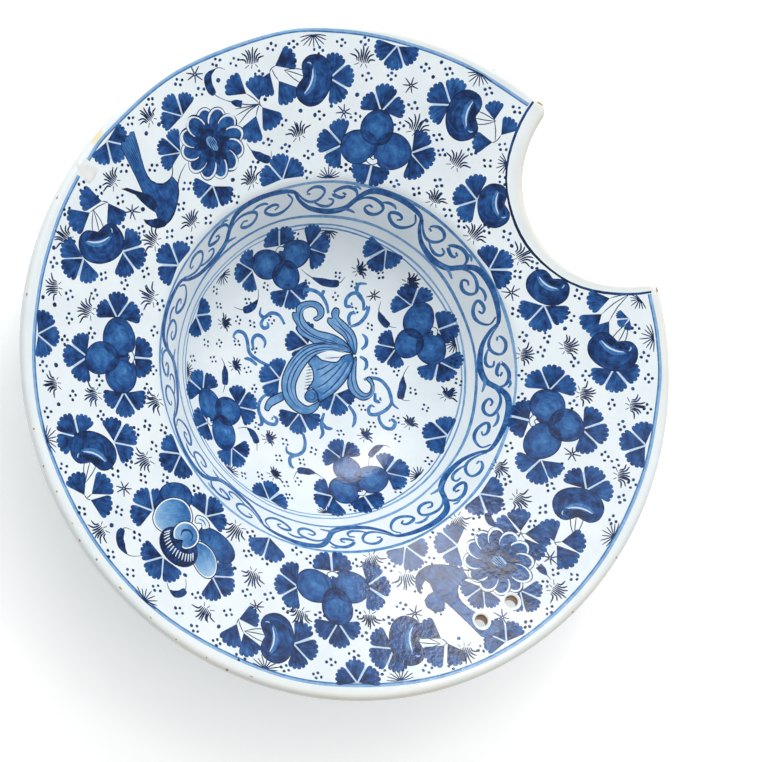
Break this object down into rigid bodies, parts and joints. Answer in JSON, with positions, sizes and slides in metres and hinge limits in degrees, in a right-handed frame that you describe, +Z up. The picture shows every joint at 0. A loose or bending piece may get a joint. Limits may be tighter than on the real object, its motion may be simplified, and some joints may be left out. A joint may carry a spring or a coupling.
{
  "type": "barber bowl",
  "caption": "Tin-glazed earthenware shaving basin with a deep round well, a wide sloping ledge painted in blue, a cut-out for the neck and holes for a hanging cord.",
  "frame": {"origin": "middle of the foot ring, on the plane that the bowl stands on", "axes": "+Z up out of the well, +Y through the middle of the neck notch, +X towards the pair of cord holes"},
  "size_m": [0.26, 0.2539, 0.065],
  "materials": {
    "earthenware": "fired buff clay, matt",
    "painted_glaze": "white tin glaze painted in cobalt blue, glossy",
    "plain_glaze": "white tin glaze, glossy",
    "rim_filler": "toned filler, satin"
  },
  "bodies": {
    "root": {"well": "earthenware", "ledge": "earthenware", "foot_ring": "earthenware", "well_glaze": "painted_glaze", "ledge_glaze": "painted_glaze", "lip_glaze": "plain_glaze", "notch_edge": "plain_glaze", "back_glaze": "plain_glaze", "base_glaze": "plain_glaze", "rim_fill": "rim_filler"}
  },
  "joints": []
}
